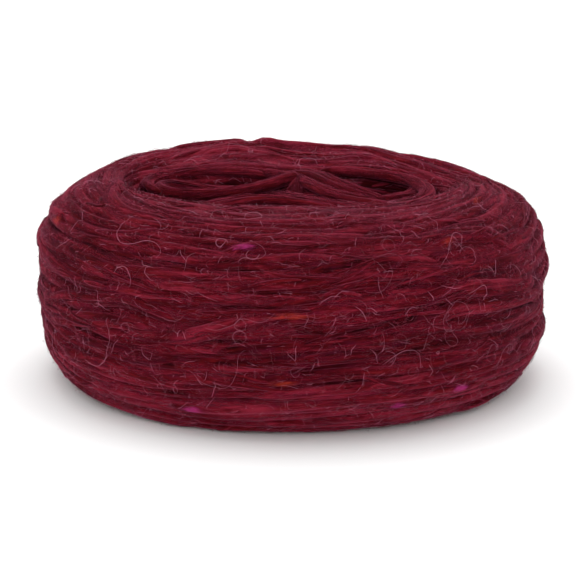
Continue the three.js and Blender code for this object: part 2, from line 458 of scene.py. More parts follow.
class Winding:
    """The plate's turns and laid strands, and how high the wool lies everywhere."""

    WIDTH_SAMPLES = np.linspace(-1, 1, 15)

    # How close the even turns lie against a strand's width, and how deep their grooves are
    CLOSENESS = 0.86
    GROOVE_DEPTH = 3.2

    # How a fold lies: how far it sinks into what is under it and how deep its ends dive, both against
    # half its thickness, and over what length they dive
    SINKS = 0.2
    DIVES = 2.1
    DIVE_LENGTH = 16

    # How far a strand's two folds wander aside, against a fold, and over what length
    WANDER = 0.6
    WANDER_LENGTH = 38

    # Where strands are laid by chance: the azimuths of their middles and half their spans, in degrees,
    # and how far from the ends of the skin
    MIDDLES = (-22, 206)
    HALF_SPANS = (22, 62)
    LEAST_PLACE = 24
    SPARED_LENGTH = 66
    GOLDEN_SHARE = 0.618034

    def __init__(self, sizes):
        self.skin = Skin()
        self.fold = sizes.strand_width / MM / 3
        self.flatness = sizes.strand_flatness
        self.turns = self.even_turns(sizes.strand_width / MM)
        self.bed = self.turns.copy()
        self.laid = []
        self.lay_random(sizes.laid_strands)
        for girth, points in WALL_STRANDS:
            line = smooth_line(points, 0.4)
            self.lay(np.radians(line[:, 0]), line[:, 1], girth, 5000 + len(self.laid))
        self.soft, self.wide, self.mat = self.felted()

    def even_line(self, azimuth, place):
        """The same line on the skin with its points evenly spaced."""
        run = run_along(self.skin.read(self.skin.points, azimuth, place))
        even = np.arange(0, run[-1], LAY_STEP)
        return np.interp(even, run, azimuth), np.interp(even, run, place)

    def press(self, strand):
        """Adds a strand, at the height it has been given, to what lies on the skin."""
        skin = self.skin
        stretch = skin.read(skin.along, strand.azimuth, strand.place)
        half_thick = strand.half_width * self.flatness
        for share in np.linspace(-1, 1, 23):
            place = strand.place + share * strand.half_width / stretch
            top = strand.height + half_thick * math.sqrt(max(0.0, 1 - share**2))
            row = np.clip(np.round(place / SKIN_CELL).astype(int), 0, len(skin.places) - 1)
            column = np.round(strand.azimuth % TURN / TURN * AZIMUTH_CELLS).astype(int)
            np.maximum.at(self.bed, (row, column % AZIMUTH_CELLS), top)

    def even_turns(self, width):
        """The under layer: soft round turns with grooves between them, open in some places only."""
        place = self.skin.places[:, None]
        share = self.skin.azimuths / TURN
        level = place - self.stray(self.skin.azimuths, place)
        pitch = self.CLOSENESS * width
        turn = level / pitch - share + 0.25 * waver(level / 12, share * 11, seed=11, around=11)
        aside = np.abs((turn + 0.5) % 1 - 0.5) * 2
        open_here = 0.72 + 0.75 * waver(turn * 0.8, share * 30, seed=61, around=30)
        groove = self.GROOVE_DEPTH * aside**4 * np.clip(open_here, 0.1, 1.1)
        uneven = 0.45 * waver(turn * 0.9, share * 17, seed=67, around=17)
        height = np.interp(place, *np.transpose(TURN_HEIGHTS))
        return height + uneven - groove - 0.35 * aside**2

    def stray(self, azimuth, level):
        """How far the turns at a level stray along the skin from their even place."""
        stray = 0.9 * np.sin(2 * azimuth + 0.09 * level) + 0.5 * np.sin(5 * azimuth - 0.21 * level)
        for *spot, rise in SLANTS:
            stray = stray + rise * near_spot(azimuth, level, *spot)
        return stray

    def ends(self, count, reach):
        """One at both ends of a line and none along it, over that many millimetres."""
        run = np.arange(count) * LAY_STEP
        nearest = np.minimum(run, run[-1] - run)
        share = np.clip(1 - nearest / reach, 0, 1)
        return share * share * (3 - 2 * share)

    def lay(self, azimuth, place, girth, seed):
        """Lays one strand, in two soft folds that run side by side and cross."""
        azimuth, place = self.even_line(azimuth, place)
        run = np.arange(len(azimuth)) * LAY_STEP
        stretch = self.skin.read(self.skin.along, azimuth, place)
        for k in (0, 1):
            aside = k - 0.5 + self.WANDER * waver(run / self.WANDER_LENGTH, 0.5, seed * 7 + k)
            self.lay_fold(azimuth, place + aside * self.fold / stretch, girth, seed * 7 + k)

    def lay_fold(self, azimuth, place, girth, seed):
        """Lays one fold on what is there. Its ends dive in among the turns."""
        strand = Strand(azimuth, place, self.fold * girth, seed)
        skin = self.skin
        stretch = skin.read(skin.along, azimuth, place)
        levels = []
        for share in self.WIDTH_SAMPLES:
            across = place + 0.9 * share * strand.half_width / stretch
            levels.append(skin.read(self.bed, azimuth, across))
        under = np.mean(levels, axis=0)
        half_thick = strand.half_width * self.flatness
        strand.height = softened(under, 6) - self.SINKS * half_thick
        strand.height -= (self.DIVES * half_thick) * self.ends(len(azimuth), self.DIVE_LENGTH)
        strand.height = softened(strand.height, 3)
        self.press(strand)
        self.laid.append(strand)

    def lay_random(self, count):
        """Strands on the sides that the camera doesn't face, with the same slants and crossings."""
        dice = np.random.default_rng(41)
        for k in range(count):
            share_up = (k * self.GOLDEN_SHARE) % 1
            level = self.LEAST_PLACE + (self.skin.length - self.SPARED_LENGTH) * share_up
            middle = math.radians(dice.uniform(*self.MIDDLES))
            half_span = math.radians(dice.uniform(*self.HALF_SPANS))
            azimuth = np.linspace(middle - half_span, middle + half_span, 240)
            slope = dice.uniform(-5, 5)
            bow = dice.uniform(-3, 3)
            share = np.linspace(-1, 1, len(azimuth))
            place = level + slope * share + bow * (share**2 - 0.4)
            place += self.stray(azimuth, level) + 0.8 * waver(azimuth * 3, k * 1.7, 21)
            self.lay(azimuth, place, dice.uniform(0.85, 1.15), 1000 + k)

    def felted(self):
        """How high the wool stands when softened, when softened more, and where it is felted."""
        margin = 20
        turned = np.concatenate([self.bed[:, -margin:], self.bed, self.bed[:, :margin]], axis=1)
        turned = np.apply_along_axis(softened, 1, turned, 3)
        soft = np.apply_along_axis(softened, 0, turned, 2)[:, margin:-margin]
        wide = np.apply_along_axis(softened, 0, soft, 8)
        sunk = np.interp(self.skin.places, *np.transpose(FELT_SINKS))[:, None]
        return soft, wide, np.maximum(self.turns, soft - sunk)


@functools.cache
def winding():
    """The plate's winding, worked out once for all the operators."""
    return Winding(bpy.context.scene.wool_sizes)


# Tubes of wool


def closed_rings(rings, sides, start=0):
    """The faces over rings of points from start on, closed to a middle point at each end."""
    ring = np.arange(rings - 1)[:, None] * sides + start
    here = np.arange(sides)
    then = (here + 1) % sides
    corners = [ring + here, ring + then, ring + sides + then, ring + sides + here]
    last = start + (rings - 1) * sides
    middle = np.full(sides, start + rings * sides)
    return [
        np.stack(corners, axis=-1).reshape(-1, 4),
        np.stack([middle, start + then, start + here], axis=-1),
        np.stack([middle + 1, last + here, last + then], axis=-1),
    ]


class Tubes:
    """Many closed tubes gathered for one mesh, with the grain and colour values of their wool."""

    # How uneven the sections are: by what share, over what length, and the step of the seed
    LOBES = ((0.13, 14, 0), (0.05, 5, 9))
    LOBES_ROUND = 5

    def __init__(self, sides, palest=0.0):
        self.sides = sides
        self.palest = palest
        self.points = []
        self.faces = []
        self.grain = []
        self.tone = []
        self.count = 0

    def add(self, centres, across, out, half_width, half_thick, seed):
        """One tube along centres. across and out are the two ways over its section."""
        rings = len(centres)
        angle = np.arange(self.sides) / self.sides * TURN
        run = run_along(centres)
        around = angle / TURN * self.LOBES_ROUND
        lobes = 1
        for share, length, step in self.LOBES:
            lobes = lobes + share * waver(run[:, None] / length, around, seed + step, self.LOBES_ROUND)
        side = half_width[:, None] * np.cos(angle) * lobes
        rise = half_thick[:, None] * np.sin(angle) * lobes
        skin = centres[:, None] + across[:, None] * side[..., None] + out[:, None] * rise[..., None]
        skin[..., 2] = np.maximum(skin[..., 2], 0)
        grain = np.empty_like(skin)
        grain[..., 0] = run[:, None] + 173.3 * (seed % 97)
        grain[..., 1] = side
        grain[..., 2] = rise + 11.7 * (seed % 41)
        self.points += [skin.reshape(-1, 3), centres[:1], centres[-1:]]
        self.grain += [grain.reshape(-1, 3), grain[0].mean(0)[None], grain[-1].mean(0)[None]]
        tone = scattered(np.array([seed]), np.array([7]), 3)[0]
        tone += (1 - tone) * self.palest
        self.tone.append(np.full(rings * self.sides + 2, tone))
        self.faces += closed_rings(rings, self.sides, self.count)
        self.count += rings * self.sides + 2

    def object(self, name):
        """The Blender object of all the tubes."""
        points = np.vstack(self.points)
        return mesh_object(name, points, self.faces, np.vstack(self.grain), np.concatenate(self.tone))


def fleck_strength(points, kind):
    """How much of a carded-in fleck colour each point has."""
    skin = winding().skin
    strength = np.zeros(len(points))
    for azimuth, place, length, breadth, colour in FLECKS:
        if colour != kind:
            continue
        azimuth = math.radians(azimuth)
        middle = skin.read(skin.points, azimuth, float(place))
        normal = skin.read(skin.normals, azimuth, float(place))
        along = unit(np.cross(UP, normal))
        offset = points - middle
        down, aside, off = offset @ along, offset @ np.cross(normal, along), offset @ normal
        strength += np.exp(-((down / length) ** 2) - (aside / breadth) ** 2 - (off / FLECK_DEPTH) ** 4)
    return np.clip(strength, 0, 1)


def mesh_object(name, points, face_groups, grain, tone):
    """A smooth mesh object in metres, with the wool's grain and colour values on its points."""
    corners = np.concatenate([group.ravel() for group in face_groups])
    sizes = np.concatenate([np.full(len(group), group.shape[1]) for group in face_groups])
    mesh = bpy.data.meshes.new(name)
    mesh.vertices.add(len(points))
    mesh.vertices.foreach_set("co", (points * MM).astype(np.float32).ravel())
    mesh.loops.add(len(corners))
    mesh.loops.foreach_set("vertex_index", corners.astype(np.int32))
    mesh.polygons.add(len(sizes))
    mesh.polygons.foreach_set("loop_start", np.concatenate([[0], np.cumsum(sizes)[:-1]]).astype(np.int32))
    mesh.polygons.foreach_set("use_smooth", np.ones(len(sizes), bool))
    mesh.update(calc_edges=True)
    mesh.attributes.new("grain", "FLOAT_VECTOR", "POINT").data.foreach_set(
        "vector", grain.astype(np.float32).ravel()
    )
    values = {
        # This layer holds each tube's random tone, the felt's painted shade in its grooves and pockets, and
        # the haze's layer and thinning
        "tone": tone,
        # Painted light: wool painted lighter at the back of the face and near the foot
        "light": painted_light(points),
        "magenta": fleck_strength(points, 1),
        "orange": fleck_strength(points, 0),
    }
    for label, value in values.items():
        layer = mesh.attributes.new(label, "FLOAT", "POINT")
        layer.data.foreach_set("value", value.astype(np.float32))
    mesh.validate()
    piece = bpy.data.objects.new(name, mesh)
    bpy.context.scene.collection.objects.link(piece)
    return piece


def felt_layer(heights, row, columns, datum):
    """A closed layer over the whole skin at those heights: faces, points, grain, depth below datum."""
    skin = winding().skin
    place = np.arange(FELT_START, skin.length - FELT_STOP, row)[:, None]
    azimuth = np.arange(columns)[None] * TURN / columns
    place, azimuth = np.broadcast_arrays(place, azimuth)
    height = skin.read(heights, azimuth, place)
    points = skin.read(skin.points, azimuth, place)
    points = points + height[..., None] * skin.read(skin.normals, azimuth, place)
    points[..., 2] = np.maximum(points[..., 2], FELT_LOWEST)
    half_turn = np.abs((azimuth + math.pi) % TURN - math.pi)
    grain = np.stack([half_turn * np.hypot(points[..., 0], points[..., 1]), place, height], axis=-1)
    ends = [points[0].mean(0), points[-1].mean(0)]
    points = np.vstack([points.reshape(-1, 3), *ends])
    grain = np.vstack([grain.reshape(-1, 3), grain[0, 0], grain[-1, 0]])
    depth = skin.read(datum, azimuth, place) - height
    depth = np.append(depth.ravel(), depth[[0, -1], 0])
    return closed_rings(len(place), columns), points, grain, depth


def pocket_depth(points):
    """How deep points lie in the pockets of the hollow, where little light gets in: 0 to 1."""
    x, y, z = np.transpose(points)
    inside = (x / POCKETS_HALF_LENGTH) ** 2 + ((y - POCKETS_Y) / POCKETS_HALF_WIDTH) ** 2 < 1
    return np.where(inside, np.clip((POCKETS_DARK_FROM - z) / POCKETS_DARK_OVER, 0, 1), 0)


def painted_light(points):
    """Painted light: how much lighter the wool is painted at the back of the face, and towards the foot."""
    _, y, z = np.transpose(points)
    back = np.clip((y - BACK_FROM_Y) / BACK_FADE_Y, 0, 1) * np.clip((z - BACK_FROM_Z) / BACK_FADE_Z, 0, 1)
    foot = np.clip((FOOT_REACH - z) / FOOT_REACH, 0, 1)
    return BACK_PAINTED_LIGHT * back + FOOT_PAINTED_LIGHT * foot


def thinned(count):
    """Which of a line's closely spaced points become rings."""
    rings = max(4, int(round((count - 1) * LAY_STEP / RING_STEP)) + 1)
    return np.unique(np.round(np.linspace(0, count - 1, rings)).astype(int))


def strand_tube(tubes, strand):
    """Adds a strand of the winding to the tubes."""
    wound = winding()
    skin = wound.skin
    normal = skin.read(skin.normals, strand.azimuth, strand.place)
    centre = skin.read(skin.points, strand.azimuth, strand.place) + normal * strand.height[:, None]
    across, out = ways_over(centre, normal)
    pick = thinned(len(centre))
    half_width = (strand.half_width * (1 - 0.75 * wound.ends(len(centre), 7)))[pick]
    half_thick = half_width * wound.flatness
    tubes.add(centre[pick], across[pick], out[pick], half_width, half_thick, strand.seed)


def free_tube(tubes, points, half_width, flatness, seed, taper=True):
    """Adds a strand that lies on a line of its own through points, and gives that line."""
    centre = smooth_line(points, FREE_STEP)
    across, out = ways_over(centre)
    run = np.linspace(0, 1, len(centre))
    nearest = np.minimum(run, 1 - run) * len(centre) * FREE_STEP
    narrow = 1 - 0.7 * np.clip(1 - nearest / 8, 0, 1) ** 2 if taper else np.ones(len(centre))
    uneven = 1 + 0.1 * waver(run * len(centre) / 14, 0.5, seed)
    width = half_width * narrow * uneven
    tubes.add(centre, across, out, width, width * flatness, seed)
    return centre


def folded_tube(tubes, points, fold, seed):
    """A strand off the skin, in two folds that wind slowly about its line, and its locks."""
    line = smooth_line(points, 3.0)
    share = np.linspace(0, 1, len(line))
    aside, _ = ways_over(line)
    angle = 1.2 * waver(share * 3, 0.5, seed)[:, None]
    for k in (-1, 1):
        offset = aside * np.cos(angle) + 0.7 * UP * np.sin(angle)
        free_tube(tubes, line + k * 0.62 * fold * offset, fold, 0.9, seed + k)
    locks(tubes, line, LOCKS_REACH * fold, LOCKS_RISE * fold, 12, seed + 2)


def locks(tubes, line, reach, rise, count, seed):
    """Thin locks that lie along a strand's line, on the upper half of it."""
    dice = np.random.default_rng(seed)
    aside, _ = ways_over(line)
    for k in range(count):
        span = dice.uniform(0.2, 0.45)
        first = int(dice.uniform(0, 1 - span) * len(line))
        part = slice(first, max(first + 4, int(first + span * len(line))))
        twist = dice.uniform(-0.6, 0.6) * np.linspace(-1, 1, len(line[part]))
        turn = dice.uniform(-0.2, math.pi + 0.2) + twist
        offset = aside[part] * np.cos(turn)[:, None] * reach + rise * UP * np.sin(turn)[:, None]
        free_tube(tubes, line[part] + offset, dice.uniform(0.25, 0.6), 0.6, seed + 3 + k)


# Loose fibres


def fibre_tubes(tubes, start, heading, length, bend, lift, thickness, seed, flatness=1.0):
    """Adds fibres that lie on the wool, each from its azimuth and place, along its heading."""
    skin = winding().skin
    azimuth, place = start
    steps = bend.shape[1]
    share = np.linspace(0, 1, steps)
    turning = heading[:, None] + np.cumsum(bend, axis=1) / steps
    pace = length[:, None] / steps
    around = skin.read(skin.around, azimuth, place)[:, None]
    along = skin.read(skin.along, azimuth, place)[:, None]
    azimuths = azimuth[:, None] + np.cumsum(np.cos(turning) * pace / around, axis=1)
    places = place[:, None] + np.cumsum(np.sin(turning) * pace / along, axis=1)
    places = np.clip(places, FIBRES_START, skin.length - FIBRES_STOP)
    bed = skin.read(winding().bed, azimuths, places)
    bridged = np.maximum(bed, (np.roll(bed, 1, axis=1) + np.roll(bed, -1, axis=1)) / 2)
    bridged[:, 0], bridged[:, -1] = bed[:, 0], bed[:, -1]
    height = bridged + lift[:, None] * np.sin(share * math.pi) ** 0.7 - 0.05
    normal = skin.read(skin.normals, azimuths, places)
    centres = skin.read(skin.points, azimuths, places) + normal * height[..., None]
    centres[..., 2] = np.maximum(centres[..., 2], FIBRES_LOWEST)
    taper = 0.35 + 0.65 * np.sin(share * math.pi) ** 0.5
    for k, centre in enumerate(centres):
        across, out = ways_over(centre, normal[k])
        half = thickness[k] / 2 * taper
        tubes.add(centre, across, out, half, half * flatness, seed + k)


# Materials


class Value:
    """A node's output. Python's own operators on it add Math nodes."""

    def __init__(self, recipe, socket):
        self.recipe = recipe
        self.socket = socket

    def math(self, operation, *inputs):
        return self.recipe.node("ShaderNodeMath", {"operation": operation}, dict(enumerate(inputs)))

    def __add__(self, other):
        return self.math("ADD", self, other)

    def __sub__(self, other):
        return self.math("SUBTRACT", self, other)

    def __rsub__(self, other):
        return self.math("SUBTRACT", other, self)

    def __mul__(self, other):
        return self.math("MULTIPLY", self, other)

    __radd__ = __add__
    __rmul__ = __mul__


class Recipe:
    """A material's nodes, ending in one Principled shader."""

    def __init__(self, name):
        self.material = bpy.data.materials.new(name)
        self.material.use_nodes = True
        self.tree = self.material.node_tree
        self.shader = self.tree.nodes["Principled BSDF"]

    def node(self, kind, settings=None, inputs=None, output=0):
        """Adds a node, sets it up, fills its sockets with values or links, and gives an output."""
        made = self.tree.nodes.new(kind)
        for key, setting in (settings or {}).items():
            if key == "stops":
                self.fill_ramp(made.color_ramp, setting)
            else:
                setattr(made, key, setting)
        for key, value in (inputs or {}).items():
            self.fill(made.inputs[key], value)
        return Value(self, made.outputs[output])

    def fill_ramp(self, ramp, stops):
        """Gives a colour ramp its stops, each a position and a colour."""
        while len(ramp.elements) < len(stops):
            ramp.elements.new(1.0)
        for element, (position, colour) in zip(ramp.elements, stops):
            element.position = position
            element.color = (*colour[:3], 1.0)

    def fill(self, socket, value):
        """Links a Value to a socket, or sets the socket to a plain value."""
        if isinstance(value, Value):
            self.tree.links.new(value.socket, socket)
        elif hasattr(value, "__len__") and socket.type == "RGBA":
            socket.default_value = (*tuple(value)[:3], 1.0)
        else:
            socket.default_value = value

    def set(self, **inputs):
        """Sets the shader's sockets, named with underscores for their spaces."""
        for key, value in inputs.items():
            self.fill(self.shader.inputs[key.replace("_", " ")], value)
        return self.material

    def layer(self, name, output=2):
        """A value that the mesh carries on its points."""
        return self.node("ShaderNodeAttribute", {"attribute_name": name}, output=output)

    def scaled(self, vector, scale):
        return self.node("ShaderNodeVectorMath", {"operation": "MULTIPLY"}, {0: vector, 1: scale})

    def noise(self, vector, scale, detail=2.0, roughness=0.5, output=0):
        """Noise from 0 to 1 whose vector is first stretched by scale."""
        vector = self.scaled(vector, scale)
        inputs = {"Vector": vector, "Scale": 1.0, "Detail": detail, "Roughness": roughness}
        return self.node("ShaderNodeTexNoise", {}, inputs, output)

    def drifted(self, vector, reach):
        """The vector moved aside by slow noise, so that streaks leave the strand's line."""
        drift = self.noise(vector, (0.14, 0.3, 0.3), output=1)
        settings = {"operation": "MULTIPLY_ADD"}
        return self.node("ShaderNodeVectorMath", settings, {0: drift, 1: (0, reach, reach), 2: vector})

    def spread(self, value, low, high):
        """The value as a share from 0 to 1 of the way from low to high."""
        inputs = {"Value": value, "From Min": low, "From Max": high}
        return self.node("ShaderNodeMapRange", {}, inputs)

    def blend(self, share, first, second):
        """Two colours mixed."""
        return self.node("ShaderNodeMix", {"data_type": "RGBA"}, {0: share, 6: first, 7: second}, output=2)

    def bumped(self, height, distance, strength):
        inputs = {"Height": height, "Distance": distance, "Strength": strength}
        return self.node("ShaderNodeBump", {}, inputs)


# What the wool and its haze have in common
MATT = {"Roughness": 0.95, "Specular_IOR_Level": 0.03, "Sheen_Roughness": 0.3}

# How much of the wool below the haze hides where it is thickest
HAZE_COVER = 0.6


@functools.cache
def wool():
    """Heathered carded wool: fine streaks along the strand in darker and brighter red."""
    colours = bpy.context.scene.wool_colours
    recipe = Recipe("carded_wool")
    grain = recipe.layer("grain", output=1)
    tone = recipe.layer("tone")
    grain = recipe.drifted(grain, 1.8)
    bundles = recipe.noise(grain, (0.07, 0.7, 0.7), 2.0)
    streaks = recipe.noise(grain, (0.3, 2.2, 2.2), 2.0, 0.6)
    hairs = recipe.noise(grain, (0.8, 6.0, 6.0), 2.0, 0.6)
    patches = recipe.noise(grain, (0.03, 0.14, 0.14), 1.0)
    # Level takes each tube's random tone, and on the felt the shade painted into its grooves and pockets
    level = 0.52 + (bundles - 0.5) * 1.2 + (streaks - 0.5) * 0.9 + (hairs - 0.5) * 0.35
    # The light layer adds painted light: lighter wool at the back of the face and near the foot
    level = level + (patches - 0.5) * 1.1 + tone * 0.11 + recipe.layer("light") * 0.1
    stops = (
        (0.10, colours.deepest),
        (0.40, colours.dark),
        (0.62, colours.middle),
        (0.95, colours.bright),
    )
    colour = recipe.node("ShaderNodeValToRGB", {"stops": stops}, {"Fac": level})
    warmth = recipe.spread(recipe.noise(grain, (0.1, 0.6, 0.6), 2.0), 0.5, 0.7)
    colour = recipe.blend(warmth * 0.4, colour, colours.warm)
    coolness = recipe.spread(recipe.noise(grain, (0.12, 0.45, 0.9), 2.0), 0.5, 0.7)
    colour = recipe.blend(coolness * 0.4, colour, colours.cool)
    ragged = recipe.noise(grain, (0.25, 1.6, 1.6), 2.0)
    magenta = recipe.spread(recipe.layer("magenta") + (ragged - 0.5) * 0.9, 0.3, 0.75)
    colour = recipe.blend(magenta * MAGENTA_SHOWS, colour, colours.magenta)
    orange = recipe.spread(recipe.layer("orange") + (ragged - 0.5) * 1.1, 0.35, 0.95)
    colour = recipe.blend(orange * ORANGE_SHOWS, colour, colours.orange)
    relief = streaks * 0.6 + hairs * 0.4
    normal = recipe.bumped(relief, 0.8 * MM, 0.6)
    return recipe.set(
        Base_Color=colour, Sheen_Weight=0.3, Sheen_Tint=colours.sheen, Normal=normal, **MATT
    )


@functools.cache
def fibre():
    """Single fibres, lighter than the mass of wool because the light goes through them."""
    colours = bpy.context.scene.wool_colours
    recipe = Recipe("wool_fibre")
    tone = recipe.spread(recipe.layer("tone"), -1.0, 1.0)
    colour = recipe.blend(tone * tone * tone, colours.fibre_dark, colours.fibre_pale)
    return recipe.set(
        Base_Color=colour, Roughness=0.8, Specular_IOR_Level=0.15, Sheen_Weight=0.1, Sheen_Roughness=0.5
    )


@functools.cache
def fuzz():
    """The haze of fibres on the wool: streaks of it, with the wool below seen between them."""
    colours = bpy.context.scene.wool_colours
    recipe = Recipe("wool_fuzz")
    grain = recipe.drifted(recipe.layer("grain", output=1), 3.0)
    layer = recipe.layer("tone")
    hairs = recipe.noise(grain, (0.3, 2.4, 2.4), 3.0, 0.65)
    tufts = recipe.noise(grain, (0.07, 0.4, 0.4), 2.0)
    # The haze thins over grooves and in the pockets, as painted shade
    cover = recipe.spread(hairs + (tufts - 0.5) * 0.7 - layer * 0.05, 0.46, 0.66)
    # The light layer makes the haze paler at the back of the face and near the foot: painted light
    pale = recipe.noise(grain, (0.4, 3.0, 3.0), 2.0) + recipe.layer("light") * 0.06
    pale = recipe.spread(pale, 0.42, 0.7)
    colour = recipe.blend(pale, colours.middle, colours.haze)
    return recipe.set(
        Base_Color=colour, Sheen_Weight=0.2, Sheen_Tint=colours.sheen, Alpha=cover * HAZE_COVER, **MATT
    )


def finish_piece(piece, material, *nodes):
    """Gives a piece its material and makes it stand for those solids."""
    piece.data.materials.append(material)
    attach(piece, "root")
    if nodes:
        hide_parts(*nodes)
    return piece


# Settings


def length_setting(name, description, value):
    """A length setting, in metres."""
    return bpy.props.FloatProperty(
        name=name, description=description, default=value, precision=5, unit="LENGTH", subtype="DISTANCE"
    )


def angle_setting(name, description, degrees):
    """An angle setting."""
    return bpy.props.FloatProperty(
        name=name,
        description=description,
        default=math.radians(degrees),
        unit="ROTATION",
        subtype="ANGLE",
    )


def count_setting(name, description, value):
    """How many there are of something."""
    return bpy.props.IntProperty(name=name, description=description, default=value)


def wool_colour(name, description, value):
    """A colour setting."""
    return bpy.props.FloatVectorProperty(
        name=name, description=description, default=value, size=3, min=0, max=1, subtype="COLOR"
    )


class WoolSizes(bpy.types.PropertyGroup):
    """Sizes of the strands and fibres."""

    strand_width: length_setting("Strand width", "How wide one turn of the roving lies", 5.0 * MM)
    strand_flatness: bpy.props.FloatProperty(
        name="Strand flatness",
        description="The thickness of a strand against its width",
        default=0.74,
        subtype="FACTOR",
    )
    laid_strands: count_setting(
        "Laid strands", "How many strands lie over the even turns at the sides and back", 44
    )
    wisps: count_setting("Wisps", "How many thin locks lie across the strands", 520)
    nap_fibres: count_setting("Nap", "How many very short fibres stand off the wool", 5200)
    close_fibres: count_setting("Close fibres", "How many loose fibres lie along the strands", 5200)
    curled_fibres: count_setting("Curled fibres", "How many long fibres stand off in curls", 130)
    fibre_thickness: length_setting("Fibre thickness", "How thick one coarse wool fibre is", 0.09 * MM)


class WoolColours(bpy.types.PropertyGroup):
    """Colours of the carded wool."""

    # The deepest red takes the darkest streaks, and the shade painted into the felt's grooves and the
    # hollow's pockets
    deepest: wool_colour("Deepest", "Between the fibres", (0.012, 0.0004, 0.0010))
    dark: wool_colour("Dark", "The darker wool in the blend", (0.040, 0.0014, 0.0034))
    middle: wool_colour("Middle", "The main wine red", (0.080, 0.0031, 0.0072))
    bright: wool_colour("Bright", "The brightest red in the blend", (0.190, 0.0130, 0.027))
    warm: wool_colour("Warm", "The warmer red in the blend", (0.125, 0.0048, 0.0045))
    cool: wool_colour("Cool", "The purpler red in the blend", (0.080, 0.0052, 0.0190))
    magenta: wool_colour("Magenta", "Flecks of magenta wool", (0.42, 0.035, 0.19))
    orange: wool_colour("Orange", "Flecks of orange-red wool", (0.50, 0.05, 0.02))
    sheen: wool_colour("Sheen", "The bloom of the nap", (0.9, 0.17, 0.33))
    haze: wool_colour("Haze", "The paler fibres that stand on the wool", (0.22, 0.022, 0.048))
    fibre_dark: wool_colour("Darker fibre", "The darker loose fibres", (0.105, 0.0085, 0.018))
    fibre_pale: wool_colour("Paler fibre", "The paler loose fibres", (0.62, 0.21, 0.34))


class StageSettings(bpy.types.PropertyGroup):
    """The camera, floor and light."""

    elevation: angle_setting("Camera height angle", "How far the camera looks down", 14.9)
    roll: angle_setting("Camera roll", "How far the camera leans to the side", 0.6)
    distance: length_setting("Camera distance", "From the camera to the middle of the plate", 1.1)
    field: length_setting("Width in view", "The width that the picture takes in at the plate", 0.207)
    floor: wool_colour("Floor", "The pale floor", (0.97, 0.97, 0.97))


# Operators


class WOOL_OT_mat(bpy.types.Operator):
    """Makes the felted wool of the even turns"""

    bl_idname = "wool.mat"
    bl_label = "Felted turns"

    ROW = 0.55
    COLUMNS = 220
    # How much shade is painted into the felt: darker in its grooves, and in the pockets of the hollow
    GROOVES_PAINTED_SHADE = 2.2
    POCKETS_PAINTED_SHADE = 5.0

    def execute(self, context):
        wound = winding()
        groups, points, grain, depth = felt_layer(wound.mat, self.ROW, self.COLUMNS, wound.wide)
        # Painted shade: darker the deeper the felt lies below its softened top, a little lighter near that
        # top
        tone = self.GROOVES_PAINTED_SHADE * np.clip(0.45 - depth, -1.6, 0.3)
        # Painted shade: darker still in the pockets of the hollow, where little light gets in
        tone -= self.POCKETS_PAINTED_SHADE * pocket_depth(points)
        piece = mesh_object("mat", points, groups, grain, tone)
        finish_piece(piece, wool(), PLATE)
        return {"FINISHED"}


class WOOL_OT_fuzz(bpy.types.Operator):
    """Makes the thin haze of fibres that stands on the wool"""

    bl_idname = "wool.fuzz"
    bl_label = "Fuzz"

    ROW = 1.1
    COLUMNS = 180
    LIFTS = (0.1, 0.6)
    SLEEVE = 0.4

    # How much thinner the haze is over grooves and in the pockets: painted shade, the pale haze taken away
    # where shade falls
    GROOVES_THINNER = 6.0
    POCKETS_THINNER = 9.0

    def execute(self, context):
        wound = winding()
        for k, lift in enumerate(self.LIFTS):
            layer = wound.soft + lift
            groups, points, grain, depth = felt_layer(layer, self.ROW, self.COLUMNS, wound.mat + lift)
            thin = k + self.GROOVES_THINNER * np.clip(-depth - 0.35, 0, 1)
            thin += self.POCKETS_THINNER * pocket_depth(points)
            piece = mesh_object(f"fuzz_{k + 1}", points, groups, grain, thin)
            finish_piece(piece, fuzz())
        sleeves = Tubes(RING_SIDES)
        for k, (girth, points) in enumerate(HOLLOW_STRANDS):
            reach = LOCKS_REACH * wound.fold * girth + self.SLEEVE
            free_tube(sleeves, points, reach, 0.8, HOLLOW_SEED + HOLLOW_SEED_STEP * k)
        finish_piece(sleeves.object("hollow_fuzz"), fuzz())
        return {"FINISHED"}


class WOOL_OT_laid_strands(bpy.types.Operator):
    """Lays the uppermost strands over the turns"""

    bl_idname = "wool.laid_strands"
    bl_label = "Laid strands"

    def execute(self, context):
        laid = winding().laid
        half = len(laid) // 2
        for name, members in (("laid_strands", laid[:half]), ("upper_strands", laid[half:])):
            tubes = Tubes(RING_SIDES)
            for strand in members:
                strand_tube(tubes, strand)
            finish_piece(tubes.object(name), wool(), PLATE)
        hollow = Tubes(RING_SIDES)
        for k, (girth, points) in enumerate(HOLLOW_STRANDS):
            seed = HOLLOW_SEED + HOLLOW_SEED_STEP * k
            folded_tube(hollow, points, winding().fold * girth, seed)
        finish_piece(hollow.object("hollow_strands"), wool(), PLATE)
        return {"FINISHED"}


